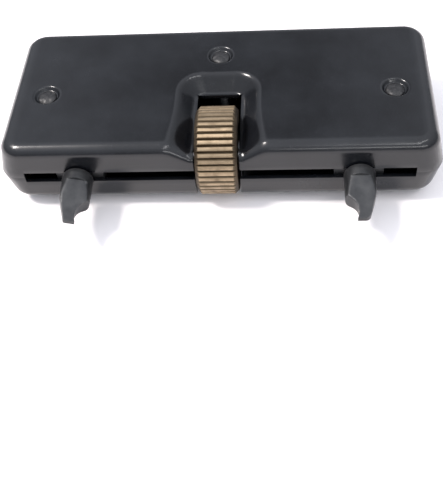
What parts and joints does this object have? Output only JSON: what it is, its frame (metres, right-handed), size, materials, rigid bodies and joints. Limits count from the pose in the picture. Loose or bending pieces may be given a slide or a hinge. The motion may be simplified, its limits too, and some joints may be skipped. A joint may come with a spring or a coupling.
{
  "type": "watch case back opener",
  "caption": "Hand tool that unscrews watch case backs: black pressed-steel housing, thumb wheel on a twin-thread spindle, and two adjustable claws.",
  "frame": {"origin": "centre of the box of the whole tool at rest, on its base: x = 0 is the middle of the thumb wheel, y = 0 is midway between the claw tips and the rear wall, z = 0 is the wheel's lowest point", "axes": "+X along the housing to the right claw, +Y to the rear wall (the claws point along -Y), +Z out of the face with the peened rivets"},
  "size_m": [0.0912, 0.05, 0.0182],
  "materials": {
    "black_enamel": "gloss stoved enamel on pressed steel",
    "worn_brass": "worn, tarnished straight knurl",
    "brass": "machined",
    "blackened_steel": "blackened, satin",
    "zinc_steel": "turned steel"
  },
  "bodies": {
    "housing": {"front_shell": "black_enamel", "back_shell": "black_enamel", "left_rivet": "black_enamel", "right_rivet": "black_enamel", "rear_rivet": "black_enamel", "left_spacer": "zinc_steel", "right_spacer": "zinc_steel", "rear_spacer": "zinc_steel", "left_bearing": "brass", "right_bearing": "brass", "left_thrust_washer": "zinc_steel", "right_thrust_washer": "zinc_steel"},
    "wheel": {"spindle": "zinc_steel", "thumb_wheel": "worn_brass"},
    "left_carriage": {"left_carrier": "blackened_steel", "left_claw": "blackened_steel", "left_grub_screw": "zinc_steel"},
    "right_carriage": {"right_carrier": "blackened_steel", "right_claw": "blackened_steel", "right_grub_screw": "zinc_steel"}
  },
  "joints": [
    {"name": "right_claw_slide", "type": "slide", "parent": "housing", "child": "right_carriage", "axis": [1, 0, 0], "range_m": [-0.01876, 0.00644]},
    {"name": "left_claw_slide", "type": "slide", "parent": "housing", "child": "left_carriage", "axis": [-1, 0, 0], "range_m": [-0.01877, 0.00645]},
    {"name": "wheel_turn", "type": "hinge", "parent": "housing", "child": "wheel", "pos_m": [0, -0.0059, 0.0091], "axis": [1, 0, 0], "range_deg": [-9652, 3316]}
  ],
  "couplings": [
    {"joint": "left_claw_slide", "follows": "right_claw_slide", "ratio": 1},
    {"joint": "wheel_turn", "follows": "right_claw_slide", "rad_per_m": 8976}
  ]
}
